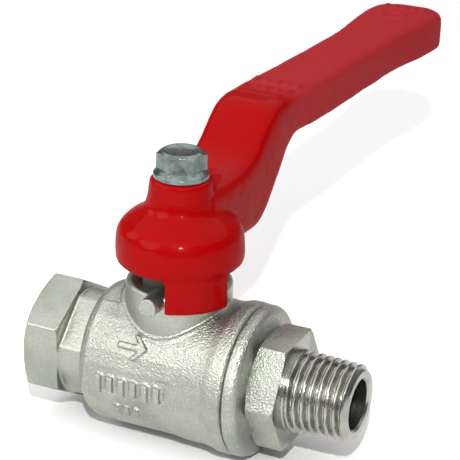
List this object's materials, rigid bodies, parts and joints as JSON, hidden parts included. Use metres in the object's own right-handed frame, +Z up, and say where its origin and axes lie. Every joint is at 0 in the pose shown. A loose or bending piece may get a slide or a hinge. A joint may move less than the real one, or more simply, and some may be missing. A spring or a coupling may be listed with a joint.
{
  "type": "ball valve",
  "caption": "Quarter-turn lever ball valve with a female threaded inlet, a male threaded outlet and a red lever arm",
  "frame": {"origin": "centre of the inlet mouth, on the pipe axis", "axes": "+X along the pipe from the inlet to the outlet, +Z up the stem towards the handle bolt, and the lever points along +Y at rest, closed"},
  "size_m": [0.0558, 0.1176, 0.051],
  "materials": {
    "plated_body": "shot-blasted casting with dull nickel plating, bright where it is turned",
    "seal_rubber": "matte",
    "seat_plastic": "smooth white fluoropolymer",
    "ball_chrome": "polished chrome plate",
    "plain_brass": "turned",
    "lever_paint": "gloss red paint over a die casting",
    "bolt_zinc": "bright zinc plate"
  },
  "bodies": {
    "valve": {"body": "plated_body", "end_connector": "plated_body", "body_joint_seal": "seal_rubber", "inlet_seat": "seat_plastic", "outlet_seat": "seat_plastic", "thrust_washer": "seat_plastic", "packing_ring": "seat_plastic", "gland_nut": "plated_body"},
    "handle": {"lever": "lever_paint", "handle_bolt": "bolt_zinc", "stem": "plain_brass", "stem_o_ring_lower": "seal_rubber", "stem_o_ring_upper": "seal_rubber", "ball": "ball_chrome"}
  },
  "joints": [
    {"name": "lever_turn", "type": "hinge", "parent": "valve", "child": "handle", "pos_m": [0.0239, 0, 0], "axis": [0, 0, 1], "range_deg": [0, 90]}
  ]
}
